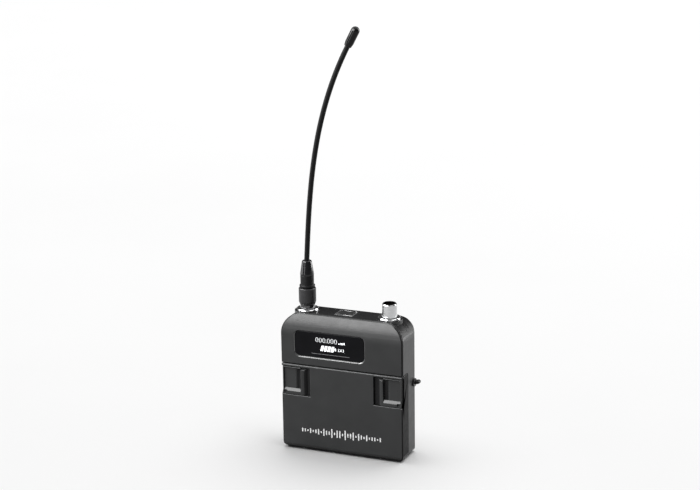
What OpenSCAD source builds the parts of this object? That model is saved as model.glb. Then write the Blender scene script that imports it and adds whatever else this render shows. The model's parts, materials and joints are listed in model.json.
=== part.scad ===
// Body-pack transmitter of a wireless lavalier microphone system.
// Origin: middle of the flat bottom face. X to the right, Y to the back, Z up. Millimetres.

/* [Case] */
// Width of the case
case_w = 65; // [64:0.5:68]
// Depth of the case, front face to back face
case_d = 18.5; // [18.5:0.1:19.5]
// Height of the case without the connectors
case_h = 71; // [70:0.5:74]
// Radius of the two top corners seen from the front
top_corner_r = 10; // [8:0.5:11]
// Radius of the two bottom corners seen from the front
bottom_corner_r = 3; // [2:0.5:4]
// Thickness of the side and top walls
wall = 1.6; // [1.4:0.1:1.8]
// Thickness of the back wall
back_wall = 1.3; // [1.2:0.1:1.4]
// Radius of the edges round the back
back_edge_r = 2; // [1:0.5:2]

/* [Front cover] */
// Thickness of the cover and of the door's front
skin = 1.3; // [1.2:0.1:1.4]
// Height of the parting line between cover and door
seam_z = 45; // [44.5:0.1:45.5]
// Height at which the front starts to curve back
crown_z = 60; // [59:0.5:61]
// How far the front has curved back at the top
crown_setback = 3.2; // [2.8:0.1:3.4]
// Width of the shadow groove round the front pieces
groove_w = 0.6; // [0.4:0.1:0.7]

/* [Display window] */
// Width of the window opening
window_w = 38.4; // [36:0.2:40]
// Height of the window opening
window_h = 14.2; // [13:0.2:14.6]
// Corner radius of the window opening
window_r = 3.3; // [2.5:0.1:4]
// Middle of the window across the case
window_x = -6.4; // [-7:0.2:-5]
// Middle of the window up the case
window_z = 56.3; // [56:0.1:56.6]

/* [Door] */
// Depth of the door's side walls
door_side_d = 7.6; // [7:0.1:7.8]
// Radius of the door's lower front edge, round the hinge axis
hinge_r = 3; // [2.8:0.1:3.1]

/* [Latches] */
// Distance from the case's side to the inner end of the latch opening
latch_open_w = 15.4; // [15:0.1:16]
// Bottom of the latch opening
latch_open_z = 28.6; // [28.4:0.1:29]
// Height of the latch opening
latch_open_h = 14.9; // [14.5:0.1:15]
// Width of the ridge on each latch
grip_w = 3.3; // [3:0.1:3.4]

/* [Power] */
// Diameter of one AA cell
cell_d = 14.2; // [13.9:0.1:14.3]
// Length of one AA cell over its contact
cell_l = 50.5; // [49.2:0.1:50.5]

/* [Connectors] */
// Distance of each port from the middle of the case
port_x = 22; // [21.5:0.1:22.5]
// Depth position of the ports
port_y = 1; // [0.8:0.1:1.2]
// Outer diameter of the microphone connector barrel
barrel_d = 7.3; // [7:0.1:7.6]
// Height of the barrel above the case
barrel_h = 8.1; // [7:0.1:9]

/* [Antenna] */
// Diameter of the whip
whip_d = 2.6; // [2:0.1:3]
// Height of the whip above its boot
whip_h = 108.5; // [60:0.5:120]
// Sideways lean of the whip at its foot, as a slope
whip_lean = 0.06; // [0:0.01:0.1]
// How strongly the whip curls over towards its tip, in millionths
whip_curl = 13.3; // [0:0.1:14]

/* [Belt clip] */
// Height of the clip's pivots
pivot_z = 37.4; // [36:0.1:39]
// Wire diameter
wire_d = 1.9; // [1.6:0.1:2]

/* [Hidden] */
$fn = 48;

side_x = case_w / 2;
front_y = -case_d / 2;
back_y = case_d / 2;
inner_back_y = back_y - back_wall;
skin_y = front_y + skin;
rim_t = 0.6;
shell_inset = rim_t + groove_w;
crown_rise = case_h - crown_z;
crown_r = (crown_rise * crown_rise + crown_setback * crown_setback) / (2 * crown_setback);
gap = 0.3;
half_gap = 0.15;

hinge_y = front_y + hinge_r;
hinge_z = hinge_r;
hinge_pin_r = 0.7;
door_top_z = seam_z - 0.2;
door_side_y = front_y + door_side_d;
door_reach = door_side_y - hinge_y;
door_wall_x = side_x - skin;
lug_x0 = side_x - 3.3;
lug_x1 = side_x - 1.6;

latch_x0 = side_x - latch_open_w;
latch_top_z = latch_open_z + latch_open_h;
latch_travel = 1.5;
grip_x0 = latch_x0 + latch_travel + 0.35;
grip_x1 = grip_x0 + grip_w;
latch_x1 = side_x - 0.6;
pad_z0 = latch_open_z + 1.9;
pad_z1 = latch_open_z + 3.3;
pad_top_z = latch_top_z - 0.8;
pad_depth = 0.9;
spring_x0 = 11.4;
spring_z = 39.4;
spring_y = -6.55;

cell_y = inner_back_y - 0.55 - cell_d / 2;
cell_pitch = cell_d + 0.3;
lower_cell_z = 6.1 + cell_d / 2;
upper_cell_z = lower_cell_z + cell_pitch;
cells_top_z = upper_cell_z + cell_d / 2;
contact_x = cell_l / 2 + 2.2;
panel_z = cells_top_z + 0.4;
tray_x = 28.8;
tray_y1 = inner_back_y - 0.05;
tray_z0 = 3.4;

clip_y = 6.4;
clip_low_y = 10.55;
clip_low_z = 6.6;

board_y = 2.2;
board_t = 1;
button_z = 40.4;
button_pitch = 6.4;
jack_top_z = case_h + 11;
nut_z = case_h + 3;
whip_foot_z = case_h + 25.68;

function whip_x(s) = -port_x + whip_lean * s + whip_curl / 1000000 * s * s * s;
function whip_slope(s) = whip_lean + 3 * whip_curl / 1000000 * s * s;

// ---- shared shapes -------------------------------------------------------

module along_y(y0, y1) {
    translate([0, y1, 0]) rotate([90, 0, 0]) linear_extrude(y1 - y0) children();
}

module along_x(x0, x1) {
    translate([x0, 0, 0]) rotate([90, 0, 90]) linear_extrude(x1 - x0) children();
}

module box(x0, x1, y0, y1, z0, z1) {
    translate([x0, y0, z0]) cube([x1 - x0, y1 - y0, z1 - z0]);
}

module both_sides() {
    children();
    mirror([1, 0, 0]) children();
}

module rod_x(x0, x1, y, z, r) {
    translate([x0, y, z]) rotate([0, 90, 0]) cylinder(h = x1 - x0, r = r);
}

module rod_y(x, y0, y1, z, r) {
    translate([x, y1, z]) rotate([90, 0, 0]) cylinder(h = y1 - y0, r = r);
}

module round_rect(w, h, r) {
    square([w, h - 2 * r], center = true);
    square([w - 2 * r, h], center = true);
    for (sx = [-1, 1], sy = [-1, 1])
        translate([sx * (w / 2 - r), sy * (h / 2 - r)]) circle(r);
}

function unit(v) = v / norm(v);

// Round rod of radius r along a line of points
module tube(line, r) {
    sides = 12;
    n = len(line);
    points = [for (i = [0 : n - 1], k = [0 : sides - 1])
        let (along = unit(line[min(i + 1, n - 1)] - line[max(i - 1, 0)]), a = 360 * k / sides,
             u = unit(cross(along, [0, 1, 1])), v = cross(along, u))
        line[i] + r * (cos(a) * u + sin(a) * v)];
    walls = [for (i = [0 : n - 2], k = [0 : sides - 1])
        let (k2 = (k + 1) % sides)
        [i * sides + k, (i + 1) * sides + k, (i + 1) * sides + k2, i * sides + k2]];
    foot = [[for (k = [0 : sides - 1]) k]];
    head = [[for (k = [0 : sides - 1]) n * sides - 1 - k]];
    polyhedron(points = points, faces = concat(walls, foot, head), convexity = 6);
}

// Case outline seen from the front, moved in by inset
module case_outline(inset = 0) {
    hw = side_x - inset;
    rt = top_corner_r - inset;
    rb = max(bottom_corner_r - inset, 0.5);
    z1 = case_h - inset;
    $fn = 96;
    translate([-hw, inset + rb]) square([2 * hw, z1 - rt - inset - rb]);
    translate([-hw + rb, inset]) square([2 * (hw - rb), rb + 1]);
    translate([-hw + rt, z1 - rt - 1]) square([2 * (hw - rt), rt + 1]);
    for (s = [-1, 1]) {
        translate([s * (hw - rt), z1 - rt]) circle(rt);
        translate([s * (hw - rb), inset + rb]) circle(rb);
    }
}

// Everything behind the front surface, seen from the side, moved back by inset
module front_profile(inset = 0) {
    translate([front_y + inset, 0]) square([case_d, crown_z]);
    intersection() {
        translate([front_y + crown_r, crown_z]) circle(crown_r - inset, $fn = 180);
        translate([front_y, crown_z - 0.01]) square([case_d + 5, case_h]);
    }
}

// Space of the door seen from the side, grown by g at the back and the top
module door_space(g = 0) {
    r = 1.5 + g;
    y1 = door_side_y + g;
    z1 = door_top_z + g;
    translate([front_y - 1, hinge_z]) square([y1 - front_y + 1, z1 - r - hinge_z]);
    translate([front_y - 1, hinge_z]) square([y1 - r - front_y + 1, z1 - hinge_z]);
    translate([y1 - r, z1 - r]) circle(r);
    intersection() {
        translate([hinge_y, hinge_z]) circle(door_reach + g);
        translate([front_y - 1, -1]) square([30, hinge_z + 1.01]);
    }
}

// ---- case ----------------------------------------------------------------

// Limits of the shell with its back edges rounded, seen from above
module rounded_back() {
    r = back_edge_r;
    translate([0, 0, -1]) linear_extrude(case_h + 3) {
        translate([-side_x, front_y]) square([case_w, case_d - r]);
        translate([-side_x + r, front_y]) square([case_w - 2 * r, case_d]);
        for (s = [-1, 1]) translate([s * (side_x - r), back_y - r]) circle(r);
    }
}

// The same seen from the side
module rounded_back_side() {
    r = back_edge_r;
    translate([front_y, 0]) square([case_d - r, case_h]);
    translate([front_y, r]) square([case_d, case_h - 2 * r]);
    translate([back_y - r, r]) circle(r);
    translate([back_y - r, case_h - r]) circle(r);
}

module shell_flange() {
    // Inner rim inside the door's side walls, with the hinge lug at its foot
    along_x(lug_x0, lug_x1) {
        difference() {
            translate([skin_y + gap, hinge_z]) square([8, seam_z - hinge_z]);
            translate([hinge_y, hinge_z]) circle(door_reach + gap);
            // Room for the latch
            translate([front_y, latch_open_z - 1.2]) square([2.8, latch_open_h + 2.4]);
            // Catch slot, open to the front
            translate([front_y, spring_z - 2.6]) square([5.6, 5.2]);
        }
        translate([hinge_y, hinge_z]) circle(1.4);
        translate([hinge_y - 1.2, hinge_z]) square([1.9, 6]);
    }
}

module shell_boss(x) {
    intersection() {
        translate([x, port_y, case_h - 12]) cylinder(h = 12.2, r = 6.5);
        along_x(-side_x, side_x) front_profile_tall(shell_inset + 0.2);
    }
}

// Front profile carried a little above the case for the port bosses
module front_profile_tall(inset) {
    intersection() {
        translate([front_y + crown_r, crown_z]) circle(crown_r - inset, $fn = 180);
        translate([front_y, crown_z - 5]) square([case_d, crown_rise + 6]);
    }
}

module rear_shell() {
    color("#2b2d2e") difference() {
        union() {
            difference() {
                intersection() {
                    along_y(front_y, back_y) case_outline();
                    rounded_back();
                    along_x(-side_x, side_x) difference() {
                        intersection() {
                            front_profile(shell_inset);
                            rounded_back_side();
                        }
                        door_space(gap);
                    }
                }
                along_y(front_y - 1, inner_back_y) case_outline(wall);
            }
            both_sides() intersection() {
                shell_flange();
                along_y(front_y, back_y) case_outline();
            }
            for (s = [-1, 1]) shell_boss(s * port_x);
        }
        // Ports
        for (s = [-1, 1])
            translate([s * port_x, port_y, case_h - 20]) cylinder(h = 30, r = 3.7);
        // Room behind the ports for the board
        box(-side_x + 3, side_x - 3, skin_y, 5.4, 50, case_h - 3.2);
        // Opening for the button frame
        box(-6.2, 3.8, -2.6, 5, case_h - 4, case_h + 1);
        // Clip pivots, hinge pins and screws
        both_sides() {
            rod_x(side_x - 4, side_x + 1, clip_y, pivot_z, 1.55);
            rod_x(side_x - 0.6, side_x + 1, clip_y, pivot_z, 2.15);
            rod_x(lug_x0 - 1, lug_x1 + 0.01, hinge_y, hinge_z, hinge_pin_r + 0.02);
        }
        for (p = screw_points) {
            rod_y(p[0], inner_back_y - 1, back_y + 1, p[1], 1);
            rod_y(p[0], back_y - 0.7, back_y + 1, p[1], 1.9);
        }
    }
}

screw_points = [[-28.2, 51], [28.2, 51], [-9.5, 67], [9.5, 67]];

module window_tool() {
    // Bevelled recess, lens seat and through opening
    hull() {
        along_y(front_y - 0.02, front_y - 0.01) round_rect(window_w, window_h, window_r);
        along_y(front_y + 0.54, front_y + 0.55) round_rect(window_w - 1, window_h - 1, window_r - 0.5);
    }
    along_y(front_y - 1, front_y + 0.01) round_rect(window_w + 0.02, window_h + 0.02, window_r);
    along_y(front_y, front_y + 1.2) round_rect(window_w - 1, window_h - 1, window_r - 0.5);
    along_y(front_y, front_y + 3) round_rect(window_w - 3, window_h - 3, window_r - 1);
}

module front_cover() {
    color("#4b4d4d") difference() {
        union() {
            // Outer plate to the full outline
            intersection() {
                along_y(front_y, back_y) difference() {
                    case_outline();
                    translate([-side_x, -1]) square([case_w, seam_z + 1.2]);
                }
                along_x(-side_x, side_x) difference() {
                    front_profile();
                    front_profile(rim_t);
                }
            }
            // Core with the locating lip, inside the shell
            intersection() {
                along_y(front_y, back_y) difference() {
                    case_outline(wall + half_gap);
                    translate([-side_x, -1]) square([case_w, seam_z + 1.2]);
                }
                along_x(-side_x, side_x) difference() {
                    front_profile(rim_t - 0.05);
                    front_profile(skin);
                }
            }
            // Lens seat
            translate([window_x, 0, window_z])
                along_y(skin_y - 0.1, front_y + 2) round_rect(window_w + 1.6, window_h + 1.2, window_r);
            // Screw posts
            for (p = screw_points)
                rod_y(p[0], skin_y - 0.2 + (p[1] > crown_z ? 1.2 : 0), inner_back_y - 0.05, p[1], 1.7);
        }
        translate([window_x, 0, window_z]) window_tool();
        for (p = screw_points) rod_y(p[0], 3, back_y, p[1], 0.82);
    }
}

module case_screws() {
    color("#1d1d1e") for (p = screw_points) difference() {
        union() {
            rod_y(p[0], 3.3, back_y - 0.3, p[1], 0.8);
            rod_y(p[0], back_y - 0.65, back_y - 0.15, p[1], 1.75);
        }
        // Cross recess
        translate([p[0], back_y, p[1]]) {
            cube([2, 0.9, 0.45], center = true);
            cube([0.45, 0.9, 2], center = true);
        }
    }
}

// ---- display and electronics --------------------------------------------

module display_window() {
    color("#0c0c0e") translate([window_x, 0, window_z])
        along_y(front_y + 0.4, front_y + 1.18) round_rect(window_w - 1.1, window_h - 1.1, window_r - 0.55);
}

module display_module() {
    // Glass, and the flat cable to the board
    z0 = window_z - 5.6;
    y1 = front_y + 4.1;
    color("#15201c") box(window_x - 17, window_x + 17, front_y + 2.1, y1, z0, window_z + 5.2);
    color("#c9a227") box(window_x - 4, window_x + 4, y1, board_y, z0, z0 + 0.3);
}

module main_board() {
    color("#1f5a3a") difference() {
        box(-26, 26, board_y, board_y + board_t, panel_z + 1.6, case_h - 4);
        for (x = [-port_x, port_x])
            box(x - 5.2, x + 5.2, board_y - 1, board_y + 3, case_h - 13.2, case_h);
        for (p = screw_points) rod_y(p[0], 0, 5, p[1], 2);
        box(-6.4, 4, board_y - 1, board_y + 3, case_h - 5.2, case_h);
    }
}

module rf_shield() {
    color("#b9bcbe") difference() {
        box(-15, 13, board_y + board_t, board_y + board_t + 2.6, 46, 63);
        box(-14.7, 12.7, board_y + board_t - 1, board_y + board_t + 2.3, 46.3, 62.7);
    }
}

module tact_switches() {
    color("#3a3a3c") {
        for (x = [-button_pitch, 0, button_pitch])
            box(x - 1.5, x + 1.5, board_y - 1.4, board_y, button_z - 1.5, button_z + 1.5);
        box(-3.1, 0.7, board_y - 2, board_y, 63.1, 65.6);
    }
}

// ---- battery compartment -------------------------------------------------

module battery_tray() {
    color("#202224") {
        // Back
        box(-tray_x, tray_x, inner_back_y - 0.5, tray_y1, tray_z0, panel_z + 1.2);
        // Ends
        both_sides() box(tray_x - 1.1, tray_x, -0.9, tray_y1, tray_z0, panel_z + 1.2);
        // Roof
        box(-tray_x, tray_x, -3.9, tray_y1, panel_z, panel_z + 1.2);
    }
}

// Plate above the cells, with the three keys
module control_panel() {
    color("#26282a") difference() {
        box(-24.5, 24.5, -4.9, -3.9, panel_z, seam_z - 0.6);
        for (i = [-1, 0, 1]) rod_y(i * button_pitch, -6, -2, button_z, 2.1);
    }
}

module cell(z, flip) {
    translate([flip ? cell_l / 2 : -cell_l / 2, cell_y, z]) rotate([0, flip ? -90 : 90, 0]) {
        color("#8f9296") cylinder(h = cell_l - 1, r = cell_d / 2);
        color("#c9a04a") translate([0, 0, cell_l - 1]) cylinder(h = 1, r = 2.7);
    }
}

module cell_lower() {
    cell(lower_cell_z, false);
}

module cell_upper() {
    cell(upper_cell_z, true);
}

module contact_plate(x0, z0, z1) {
    box(x0, x0 + 0.3, cell_y - 4, cell_y + 4, z0, z1);
}

module contact_bridge() {
    color("#c9cbcc") contact_plate(-contact_x - 0.15, lower_cell_z - 4.5, upper_cell_z + 4.5);
}

module contact_terminals() {
    color("#c9cbcc") for (z = [lower_cell_z, upper_cell_z])
        contact_plate(contact_x - 0.15, z - 4.5, z + 4.5);
}

// Closed outer shape of one conical contact spring
module spring_cone(x0, x1, z) {
    translate([x0, cell_y, z]) rotate([0, x1 > x0 ? 90 : -90, 0]) difference() {
        cylinder(h = abs(x1 - x0), r1 = 4, r2 = 2.2);
        translate([0, 0, -1]) cylinder(h = abs(x1 - x0) + 2, r1 = 3.5, r2 = 1.5);
    }
}

module contact_springs() {
    color("#d5d7d8") {
        spring_cone(-contact_x + 0.16, -cell_l / 2 - 0.02, lower_cell_z);
        spring_cone(contact_x - 0.16, cell_l / 2 + 0.02, upper_cell_z);
    }
}

// ---- buttons -------------------------------------------------------------

module key(i) {
    color("#5a5d5e") {
        rod_y(i * button_pitch, -5.6, -2.9, button_z, 1.95);
        rod_y(i * button_pitch, -3.6, -2.6, button_z, 2.6);
        rod_y(i * button_pitch, -2.6, board_y - 2, button_z, 0.8);
    }
}

module set_button() {
    key(0);
}

module up_button() {
    key(1);
}

module down_button() {
    key(-1);
}

module button_frame() {
    // Dark surround of the mute button, let into the top
    color("#18191a") difference() {
        union() {
            box(-6.05, 3.65, -2.45, 4.85, case_h - 2, case_h + 0.25);
            box(-6.7, 4.3, -3.1, 5.3, case_h - 2.6, case_h - wall - 0.02);
        }
        box(-5.5, 3.1, -1.9, 4.3, case_h - 4, case_h + 1);
    }
}

module mute_button() {
    color("#a9acae") difference() {
        union() {
            box(-5.2, 2.8, -1.6, 4, case_h - 3.6, case_h + 0.6);
            box(-6, 3.6, -2.4, 4.6, case_h - 3.7, case_h - 2.75);
            box(-2, -0.4, 0.6, 2, 66.3, case_h - 3.6);
        }
        // Finger dish
        translate([-1.2, 1.2, case_h + 8.2]) rotate([90, 0, 0]) cylinder(h = 10, r = 8, center = true);
    }
}

// ---- antenna -------------------------------------------------------------

module port_bezel(x) {
    translate([x, port_y, case_h + 0.2]) rotate_extrude($fn = 96)
        polygon([[3.75, 0], [5.6, 0], [5.6, 0.5], [5.3, 0.9], [4.9, 0.9], [3.75, 0.35]]);
}

module antenna_bezel() {
    color("#dcdee0") port_bezel(-port_x);
}

module antenna_jack() {
    color("#b4b6b8") translate([-port_x, port_y, 0]) {
        translate([0, 0, case_h - 11]) cylinder(h = 11 + 2.8, r = 3.6);
        translate([0, 0, case_h - 12.2]) cylinder(h = 2.2, r = 4.2);
        translate([0, 0, case_h + 2]) cylinder(h = 6, r = 2.4);
    }
}

module antenna_nut() {
    color("#232425") translate([-port_x, port_y, nut_z]) difference() {
        rotate_extrude($fn = 96)
            polygon([[0, 0], [3.8, 0], [4.35, 1.5], [4.35, 8.2], [4.1, 8.5], [0, 8.5]]);
        translate([0, 0, -1]) cylinder(h = 6.6, r = 2.45);
    }
}

module antenna_boot() {
    color("#1c1c1d") translate([-port_x, port_y, nut_z + 8.5]) rotate_extrude($fn = 96)
        polygon([[0, 0], [3.3, 0], [3.3, 0.4], [3.9, 0.5], [3.9, 1.5], [3.45, 1.7], [3.45, 6.6],
                 [2.35, 14.1], [0, 14.1]]);
}

module antenna_whip() {
    steps = 55;
    line = [for (i = [0 : steps]) let (s = whip_h * i / steps) [whip_x(s), port_y, whip_foot_z + s]];
    color("#1b1b1c") tube(line, whip_d / 2);
}

module antenna_tip() {
    color("#1b1b1c") translate([whip_x(whip_h), port_y, whip_foot_z + whip_h])
        rotate([0, atan(whip_slope(whip_h)), 0]) translate([0, 0, 0.02])
            rotate_extrude($fn = 64) {
                polygon([[0, 0], [1.5, 0], [1.85, 0.4], [2.15, 2.2], [2.15, 8.8], [0, 8.8]]);
                intersection() {
                    translate([0, 8.8]) circle(2.15);
                    translate([0, 8.7]) square(4);
                }
            }
}

// ---- microphone connector ------------------------------------------------

module connector_bezel() {
    color("#dcdee0") port_bezel(port_x);
}

socket_r = 3.1;
socket_foot_z = case_h - 11;
insulator_h = 14.1;
pin_ring_r = 1.6;
pin_r = 0.48;
pin_foot_z = case_h - 13;
pin_h = 18.2;

module connector_barrel() {
    foot_r = 3.4;
    step_z = case_h + 1.2;
    top_z = case_h + barrel_h;
    color("#c8cacc") translate([port_x, port_y, 0]) rotate_extrude($fn = 96)
        polygon([[socket_r, socket_foot_z], [foot_r, socket_foot_z], [foot_r, step_z],
                 [barrel_d / 2, step_z], [barrel_d / 2, top_z - 0.5], [barrel_d / 2 - 0.4, top_z],
                 [socket_r, top_z]]);
}

// Its children at each of the four pins
module at_pins() {
    for (a = [45, 135, 225, 315])
        translate([port_x, port_y, 0]) rotate([0, 0, a]) translate([pin_ring_r, 0, 0]) children();
}

module connector_insulator() {
    color("#101011") difference() {
        translate([port_x, port_y, socket_foot_z + 0.1]) cylinder(h = insulator_h, r = socket_r - 0.02);
        at_pins() translate([0, 0, pin_foot_z - 1]) cylinder(h = pin_h + 2, r = pin_r + 0.02);
    }
}

module connector_pins() {
    color("#d8b765") at_pins() translate([0, 0, pin_foot_z]) {
        cylinder(h = pin_h, r = pin_r);
        translate([0, 0, pin_h]) sphere(pin_r, $fn = 32);
    }
}

// ---- battery door --------------------------------------------------------

module door_outer_profile() {
    intersection() {
        door_space();
        union() {
            translate([front_y, hinge_z]) square([case_d, case_h]);
            translate([hinge_y, -1]) square([case_d, case_h]);
            translate([hinge_y, hinge_z]) circle(hinge_r);
        }
    }
}

module door_inner_profile() {
    translate([skin_y, hinge_z]) square([case_d, case_h]);
    translate([hinge_y, skin]) square([case_d, case_h]);
    translate([hinge_y, hinge_z]) circle(hinge_r - skin);
}

module battery_door() {
    color("#46494a") difference() {
        union() {
            intersection() {
                along_y(front_y, back_y) case_outline();
                difference() {
                    along_x(-side_x, side_x) door_outer_profile();
                    along_x(-door_wall_x, door_wall_x) door_inner_profile();
                }
            }
            both_sides() {
                // Hooked rail that holds the latch against the door
                box(17.6, 27, skin_y - 0.1, -6.3, latch_top_z + 0.82, door_top_z);
                box(17.6, 27, -6.95, -6.3, latch_top_z - 0.6, door_top_z);
                // Post for the latch spring
                box(spring_x0 - 1.6, spring_x0, skin_y - 0.1, -5.4, spring_z - 1.6, spring_z + 1.6);
            }
        }
        both_sides() {
            // Latch opening and its way out through the side wall
            box(latch_x0, side_x + 1, front_y - 1, -6.8, latch_open_z, latch_top_z);
            // Ear bore
            rod_x(door_wall_x - 0.1, side_x - 0.5, hinge_y, hinge_z, hinge_pin_r + 0.05);
            // Room for the hinge lug
            box(lug_x0 - gap, door_wall_x + 0.001, hinge_y + 0.8, side_x, -1, hinge_z);
            // Groove that carries the cover's parting line down the door
            box(side_x - 0.45, side_x + 1, front_y + rim_t, front_y + shell_inset, hinge_z + 0.4, case_h);
        }
    }
}

module hinge_pins() {
    color("#c0c2c4") both_sides() rod_x(lug_x0 + 0.1, side_x - 0.6, hinge_y, hinge_z, hinge_pin_r);
}

// Right-hand latch: ridge, finger pad, guide flange, and an arm with the catch
module latch() {
    face_y = front_y + 0.05;
    latch_back_y = -7.1;
    arm_x = 27.1;
    difference() {
        union() {
            box(grip_x0, latch_x1, face_y, latch_back_y, latch_open_z + 0.3, latch_top_z - 0.3);
            box(latch_x0 - 0.2, lug_x0 - 0.4, skin_y + 0.15, latch_back_y,
                latch_open_z - 0.7, latch_top_z + 0.7);
            box(arm_x, arm_x + 1.2, latch_back_y - 0.1, -4.3, spring_z - 1.8, spring_z + 1.8);
            box(arm_x, lug_x0 + 1, -5.4, -4.3, spring_z - 1.5, spring_z + 1.5);
        }
        // Face of the ridge, rounding down to the gap
        translate([0, 0, latch_open_z - 1]) linear_extrude(latch_open_h + 2)
            polygon([[grip_x0 - 1, front_y - 1], [grip_x1 - 0.8, front_y - 1], [grip_x1 - 0.8, face_y],
                     [grip_x0 + 1.4, face_y + 0.3], [grip_x0 + 0.6, face_y + 0.8],
                     [grip_x0, face_y + 1.3], [grip_x0 - 1, face_y + 1.3]]);
        // Space round the ridge's sloping head
        along_x(grip_x0 - 1, grip_x1 + 0.01)
            polygon([[front_y - 1, pad_top_z - 0.9], [face_y, pad_top_z - 0.9],
                     [front_y + 1.3, pad_top_z], [front_y + 1.3, latch_top_z],
                     [front_y - 1, latch_top_z]]);
        // Finger pad with a sloping ledge below it
        along_x(grip_x1, latch_x1 - 0.6)
            polygon([[front_y - 1, pad_z0], [face_y, pad_z0], [front_y + pad_depth, pad_z1],
                     [front_y + pad_depth, pad_top_z], [front_y - 1, pad_top_z]]);
        // Hollow beside the ridge
        intersection() {
            translate([grip_x1 + 0.9, front_y - 1.4, pad_z1]) cylinder(h = pad_top_z - pad_z1, r = 3);
            box(grip_x1, latch_x1, front_y - 1, latch_back_y, pad_z1, pad_top_z);
        }
        // Notch at the outer end of the ledge
        box(latch_x1 - 2.4, latch_x1 - 0.6, front_y - 1, front_y + pad_depth,
            latch_open_z + 0.8, pad_z0 + 0.3);
    }
}

module latch_right() {
    color("#3b3d3e") latch();
}

module latch_left() {
    color("#3b3d3e") mirror([1, 0, 0]) latch();
}

// Closed outer shape of one latch return spring
module latch_spring() {
    rod_x(spring_x0 + 0.02, latch_x0 - 0.22, spring_y, spring_z, 1.1);
}

module latch_spring_right() {
    color("#c9cbcc") latch_spring();
}

module latch_spring_left() {
    color("#c9cbcc") mirror([1, 0, 0]) latch_spring();
}

// ---- belt clip -----------------------------------------------------------

// Corners of the wire's right half, from the pivot to the middle, and the bend radius at each
clip_corners = [[34.45, clip_y, pivot_z], [34.2, 9.8, pivot_z - 0.4], [30.3, 11.2, pivot_z - 1.9],
                [29.4, 11.9, 28], [27.6, 12.3, 19], [24.6, 10.8, 9], [22, clip_low_y, clip_low_z]];
clip_bends = [1.2, 1.6, 2, 6, 20, 3, 3];
clip_start = [30.4, clip_y, pivot_z];
clip_middle = [0, clip_low_y, clip_low_z];

// Points of the bend of radius r at corner q, between the corners p and n
function bend(p, q, n, r) =
    let (a = unit(p - q), b = unit(n - q), half = acos(a * b) / 2, turn = 180 - 2 * half, steps = 6,
         c = q + r / sin(half) * unit(a + b),
         from = q + r / tan(half) * a - c, to = q + r / tan(half) * b - c)
    [for (k = [0 : steps]) let (t = turn * k / steps)
        c + (sin(turn - t) * from + sin(t) * to) / sin(turn)];

module belt_clip() {
    last = len(clip_corners) - 1;
    half = [clip_start, for (i = [0 : last])
        each bend(i == 0 ? clip_start : clip_corners[i - 1], clip_corners[i],
                  i == last ? clip_middle : clip_corners[i + 1], clip_bends[i])];
    other_half = [for (i = [len(half) - 1 : -1 : 0]) [-half[i][0], half[i][1], half[i][2]]];
    line = concat(half, other_half);
    color("#1a1a1b") tube(line, wire_d / 2);
}

module clip_bushes() {
    color("#141415") both_sides() difference() {
        union() {
            rod_x(side_x - 2.6, side_x - 0.5, clip_y, pivot_z, 1.5);
            rod_x(side_x - 0.55, side_x + 0.75, clip_y, pivot_z, 2.1);
        }
        rod_x(side_x - 3, side_x + 1, clip_y, pivot_z, wire_d / 2 + 0.04);
    }
}

rear_shell();
front_cover();
display_window();
display_module();
main_board();
rf_shield();
tact_switches();
battery_tray();
control_panel();
cell_lower();
cell_upper();
contact_bridge();
contact_terminals();
contact_springs();
set_button();
up_button();
down_button();
mute_button();
button_frame();
antenna_jack();
antenna_bezel();
antenna_nut();
antenna_boot();
antenna_whip();
antenna_tip();
connector_barrel();
connector_insulator();
connector_pins();
connector_bezel();
battery_door();
hinge_pins();
latch_left();
latch_right();
latch_spring_left();
latch_spring_right();
belt_clip();
clip_bushes();
case_screws();
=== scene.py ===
import json
import math

import bmesh
import bpy
from mathutils import Matrix, Vector


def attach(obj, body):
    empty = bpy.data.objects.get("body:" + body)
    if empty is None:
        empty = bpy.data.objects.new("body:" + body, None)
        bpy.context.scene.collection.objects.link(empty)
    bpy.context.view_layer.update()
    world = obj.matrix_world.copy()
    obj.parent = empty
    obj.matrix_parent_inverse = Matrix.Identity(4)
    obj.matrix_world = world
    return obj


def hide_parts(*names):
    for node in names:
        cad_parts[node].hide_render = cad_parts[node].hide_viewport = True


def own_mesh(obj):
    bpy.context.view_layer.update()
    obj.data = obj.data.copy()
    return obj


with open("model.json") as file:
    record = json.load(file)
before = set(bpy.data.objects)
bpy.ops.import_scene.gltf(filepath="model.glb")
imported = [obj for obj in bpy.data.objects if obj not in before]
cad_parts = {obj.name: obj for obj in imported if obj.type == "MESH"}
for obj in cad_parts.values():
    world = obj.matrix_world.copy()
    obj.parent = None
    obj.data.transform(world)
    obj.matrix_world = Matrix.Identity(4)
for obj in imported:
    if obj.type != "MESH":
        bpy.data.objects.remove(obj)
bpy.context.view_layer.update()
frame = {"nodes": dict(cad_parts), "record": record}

# Body-pack transmitter of a wireless lavalier microphone system.
# Every length below is in millimetres in the CAD's frame, and is turned into metres by MM.
MM = 0.001

# ---- dimensions repeated from the CAD source --------------------------------

SIDE_X = 32.5
FRONT_Y = -9.25
BACK_Y = -FRONT_Y
CASE_H = 71.0
SEAM_Z = 45.0
TOP_CORNER_R = 10.0
BOTTOM_CORNER_R = 3.0
PORT_X = 22.0
PORT_Y = 1.0
BARREL_R = 3.65
NUT_Z = 74.0
NUT_R = 4.35
NUT_H = 8.5
BOOT_Z = NUT_Z + NUT_H
BOOT_H = 14.1
WHIP_FOOT_Z = CASE_H + 25.68
WHIP_H = 108.5
WHIP_R = 1.3
WHIP_LEAN = 0.06
WHIP_CURL = 13.3e-6
TIP_R = 2.15
TIP_H = 8.82
WINDOW_X = -6.4
WINDOW_Z = 56.3
WINDOW_W = 38.4
WINDOW_H = 14.2
LENS_Y = FRONT_Y + 0.4
CELL_R = 7.1
CELL_L = 50.5
CELL_Y = 0.3
LOWER_CELL_Z = 13.2
UPPER_CELL_Z = 27.7
CONTACT_X = CELL_L / 2 + 2.2
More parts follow.
